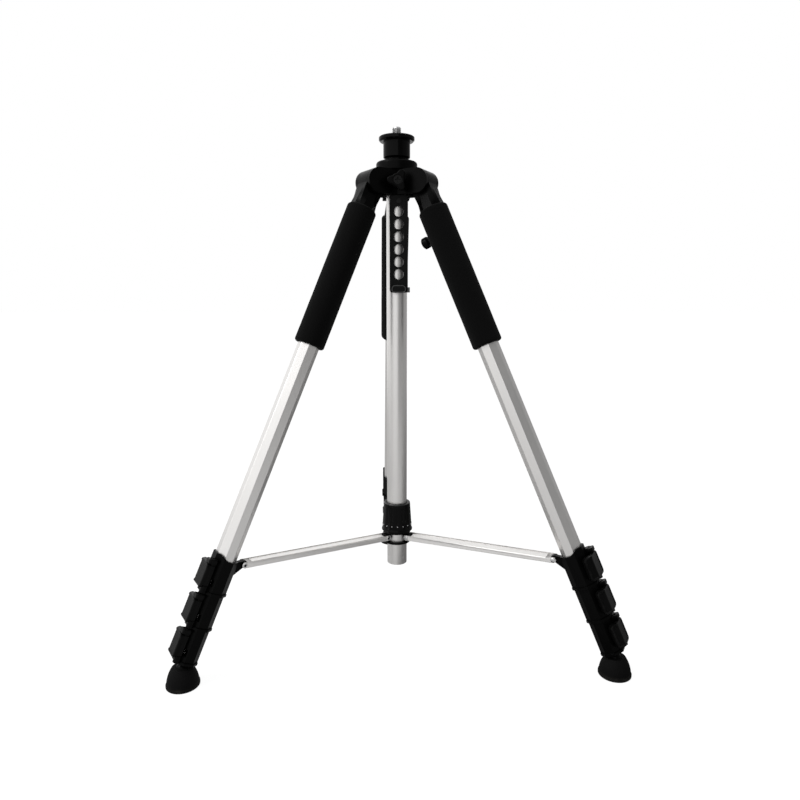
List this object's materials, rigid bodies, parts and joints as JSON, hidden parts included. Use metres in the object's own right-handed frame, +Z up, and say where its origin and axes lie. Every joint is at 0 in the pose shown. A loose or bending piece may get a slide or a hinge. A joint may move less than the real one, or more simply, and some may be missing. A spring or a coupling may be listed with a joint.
{
  "type": "surveying tripod",
  "caption": "Folding tripod with a lifting column and threaded stud for a level, telescoping flip-lock legs with foam grips, a sliding spreader and swivel feet.",
  "frame": {"origin": "on the floor, straight under the column and stud", "axes": "+Z up along the column; -Y is the front, with the clamp knob and strap; the rear leg is at +Y"},
  "size_m": [0.4536, 0.3972, 0.5426],
  "materials": {
    "black_plastic": "satin moulded",
    "black_metal": "satin black",
    "aluminium": "satin anodised",
    "steel": "plated",
    "rubber": "moulded rubber",
    "foam": "fine closed-cell foam",
    "nylon": "plain nylon"
  },
  "bodies": {
    "hub": {"hub_body": "black_plastic", "hub_collar": "black_plastic", "hinge_pins": "steel", "guide_tube": "aluminium", "clamp_shoe": "nylon"},
    "column": {"column_tube": "aluminium", "head": "black_metal", "mount_stud": "steel"},
    "knob": {"clamp_knob": "black_plastic", "knob_screw": "steel"},
    "strap": {"strap": "rubber", "strap_rivet": "steel"},
    "slider": {"spreader_slider": "black_plastic", "spreader_pins": "steel"},
    "nut": {"spreader_nut": "black_plastic"},
    "left_arm": {"left_spreader_arm": "aluminium"},
    "left_leg": {"left_leg_fitting": "black_plastic", "left_foam_grip": "foam", "left_tube_1": "aluminium", "left_lock_1": "black_plastic"},
    "left_lever_1": {"left_lever_1": "black_plastic"},
    "left_section_2": {"left_tube_2": "aluminium", "left_lock_2": "black_plastic"},
    "left_lever_2": {"left_lever_2": "black_plastic"},
    "left_section_3": {"left_tube_3": "aluminium", "left_lock_3": "black_plastic"},
    "left_lever_3": {"left_lever_3": "black_plastic"},
    "left_section_4": {"left_tube_4": "aluminium"},
    "left_foot": {"left_foot": "rubber"},
    "right_arm": {"right_spreader_arm": "aluminium"},
    "right_leg": {"right_leg_fitting": "black_plastic", "right_foam_grip": "foam", "right_tube_1": "aluminium", "right_lock_1": "black_plastic", "leg_button": "black_plastic"},
    "right_lever_1": {"right_lever_1": "black_plastic"},
    "right_section_2": {"right_tube_2": "aluminium", "right_lock_2": "black_plastic"},
    "right_lever_2": {"right_lever_2": "black_plastic"},
    "right_section_3": {"right_tube_3": "aluminium", "right_lock_3": "black_plastic"},
    "right_lever_3": {"right_lever_3": "black_plastic"},
    "right_section_4": {"right_tube_4": "aluminium"},
    "right_foot": {"right_foot": "rubber"},
    "rear_arm": {"rear_spreader_arm": "aluminium"},
    "rear_leg": {"rear_leg_fitting": "black_plastic", "rear_foam_grip": "foam", "rear_tube_1": "aluminium", "rear_lock_1": "black_plastic"},
    "rear_lever_1": {"rear_lever_1": "black_plastic"},
    "rear_section_2": {"rear_tube_2": "aluminium", "rear_lock_2": "black_plastic"},
    "rear_lever_2": {"rear_lever_2": "black_plastic"},
    "rear_section_3": {"rear_tube_3": "aluminium", "rear_lock_3": "black_plastic"},
    "rear_lever_3": {"rear_lever_3": "black_plastic"},
    "rear_section_4": {"rear_tube_4": "aluminium"},
    "rear_foot": {"rear_foot": "rubber"}
  },
  "joints": [
    {"name": "column_slide", "type": "slide", "parent": "hub", "child": "column", "axis": [0, 0, 1], "range_m": [0, 0.25]},
    {"name": "knob_turn", "type": "hinge", "parent": "hub", "child": "knob", "pos_m": [0, -0.032, 0.48544], "axis": [0, -1, 0], "range_deg": [-180, 180]},
    {"name": "strap_swing", "type": "hinge", "parent": "hub", "child": "strap", "pos_m": [0.0015, -0.016, 0.47314], "axis": [-1, 0, 0], "range_deg": [0, 55]},
    {"name": "nut_turn", "type": "hinge", "parent": "slider", "child": "nut", "pos_m": [0, 0, 0.10949], "axis": [0, 0, 1], "range_deg": [-60, 60]},
    {"name": "slider_slide", "type": "slide", "parent": "hub", "child": "slider", "axis": [0, 0, 1], "range_m": [0, 0.08999]},
    {"name": "left_leg_hinge", "type": "hinge", "parent": "hub", "child": "left_leg", "pos_m": [-0.02511, -0.0145, 0.48594], "axis": [0.5, -0.866, 0], "range_deg": [0, 3.5]},
    {"name": "left_arm_hinge", "type": "hinge", "parent": "slider", "child": "left_arm", "pos_m": [-0.01264, -0.0073, 0.10269], "axis": [0.5, -0.866, 0], "range_deg": [0, 36.26]},
    {"name": "left_lever_1_flip", "type": "hinge", "parent": "left_leg", "child": "left_lever_1", "pos_m": [-0.18322, -0.11617, 0.10767], "axis": [0.3605, 0.2081, 0.9092], "range_deg": [0, 100]},
    {"name": "left_section_2_slide", "type": "slide", "parent": "left_leg", "child": "left_section_2", "axis": [-0.3605, -0.2081, -0.9092], "range_m": [0, 0.3]},
    {"name": "left_lever_2_flip", "type": "hinge", "parent": "left_section_2", "child": "left_lever_2", "pos_m": [-0.19545, -0.12225, 0.07585], "axis": [0.3605, 0.2081, 0.9092], "range_deg": [0, 100]},
    {"name": "left_section_3_slide", "type": "slide", "parent": "left_section_2", "child": "left_section_3", "axis": [-0.3605, -0.2081, -0.9092], "range_m": [0, 0.3]},
    {"name": "left_lever_3_flip", "type": "hinge", "parent": "left_section_3", "child": "left_lever_3", "pos_m": [-0.20768, -0.12833, 0.04404], "axis": [0.3605, 0.2081, 0.9092], "range_deg": [0, 100]},
    {"name": "left_section_4_slide", "type": "slide", "parent": "left_section_3", "child": "left_section_4", "axis": [-0.3605, -0.2081, -0.9092], "range_m": [0, 0.3]},
    {"name": "left_foot_tilt", "type": "hinge", "parent": "left_section_4", "child": "left_foot", "pos_m": [-0.21085, -0.12173, 0.0175], "axis": [0.5, -0.866, 0], "range_deg": [-45, 1]},
    {"name": "right_leg_hinge", "type": "hinge", "parent": "hub", "child": "right_leg", "pos_m": [0.02511, -0.0145, 0.48594], "axis": [0.5, 0.866, 0], "range_deg": [0, 3.5]},
    {"name": "right_arm_hinge", "type": "hinge", "parent": "slider", "child": "right_arm", "pos_m": [0.01264, -0.0073, 0.10269], "axis": [0.5, 0.866, 0], "range_deg": [0, 36.26]},
    {"name": "right_lever_1_flip", "type": "hinge", "parent": "right_leg", "child": "right_lever_1", "pos_m": [0.19222, -0.10059, 0.10767], "axis": [-0.3605, 0.2081, 0.9092], "range_deg": [0, 100]},
    {"name": "right_section_2_slide", "type": "slide", "parent": "right_leg", "child": "right_section_2", "axis": [0.3605, -0.2081, -0.9092], "range_m": [0, 0.3]},
    {"name": "right_lever_2_flip", "type": "hinge", "parent": "right_section_2", "child": "right_lever_2", "pos_m": [0.2036, -0.10814, 0.07585], "axis": [-0.3605, 0.2081, 0.9092], "range_deg": [0, 100]},
    {"name": "right_section_3_slide", "type": "slide", "parent": "right_section_2", "child": "right_section_3", "axis": [0.3605, -0.2081, -0.9092], "range_m": [0, 0.3]},
    {"name": "right_lever_3_flip", "type": "hinge", "parent": "right_section_3", "child": "right_lever_3", "pos_m": [0.21498, -0.11569, 0.04404], "axis": [-0.3605, 0.2081, 0.9092], "range_deg": [0, 100]},
    {"name": "right_section_4_slide", "type": "slide", "parent": "right_section_3", "child": "right_section_4", "axis": [0.3605, -0.2081, -0.9092], "range_m": [0, 0.3]},
    {"name": "right_foot_tilt", "type": "hinge", "parent": "right_section_4", "child": "right_foot", "pos_m": [0.21085, -0.12173, 0.0175], "axis": [0.5, 0.866, 0], "range_deg": [-45, 1]},
    {"name": "rear_leg_hinge", "type": "hinge", "parent": "hub", "child": "rear_leg", "pos_m": [0, 0.029, 0.48594], "axis": [-1, 0, 0], "range_deg": [0, 3.5]},
    {"name": "rear_arm_hinge", "type": "hinge", "parent": "slider", "child": "rear_arm", "pos_m": [0, 0.0146, 0.10269], "axis": [-1, 0, 0], "range_deg": [0, 36.26]},
    {"name": "rear_lever_1_flip", "type": "hinge", "parent": "rear_leg", "child": "rear_lever_1", "pos_m": [-0.009, 0.21676, 0.10767], "axis": [0, -0.4163, 0.9092], "range_deg": [0, 100]},
    {"name": "rear_section_2_slide", "type": "slide", "parent": "rear_leg", "child": "rear_section_2", "axis": [0, 0.4163, -0.9092], "range_m": [0, 0.3]},
    {"name": "rear_lever_2_flip", "type": "hinge", "parent": "rear_section_2", "child": "rear_lever_2", "pos_m": [-0.00815, 0.23039, 0.07585], "axis": [0, -0.4163, 0.9092], "range_deg": [0, 100]},
    {"name": "rear_section_3_slide", "type": "slide", "parent": "rear_section_2", "child": "rear_section_3", "axis": [0, 0.4163, -0.9092], "range_m": [0, 0.3]},
    {"name": "rear_lever_3_flip", "type": "hinge", "parent": "rear_section_3", "child": "rear_lever_3", "pos_m": [-0.0073, 0.24402, 0.04404], "axis": [0, -0.4163, 0.9092], "range_deg": [0, 100]},
    {"name": "rear_section_4_slide", "type": "slide", "parent": "rear_section_3", "child": "rear_section_4", "axis": [0, 0.4163, -0.9092], "range_m": [0, 0.3]},
    {"name": "rear_foot_tilt", "type": "hinge", "parent": "rear_section_4", "child": "rear_foot", "pos_m": [0, 0.24347, 0.0175], "axis": [-1, 0, 0], "range_deg": [-45, 1]}
  ],
  "couplings": [
    {"joint": "slider_slide", "follows": "left_leg_hinge", "m_per_rad": 1.465},
    {"joint": "left_arm_hinge", "follows": "left_leg_hinge", "ratio": 10.332},
    {"joint": "right_leg_hinge", "follows": "left_leg_hinge", "ratio": 1},
    {"joint": "right_arm_hinge", "follows": "left_leg_hinge", "ratio": 10.332},
    {"joint": "rear_leg_hinge", "follows": "left_leg_hinge", "ratio": 1},
    {"joint": "rear_arm_hinge", "follows": "left_leg_hinge", "ratio": 10.332}
  ]
}
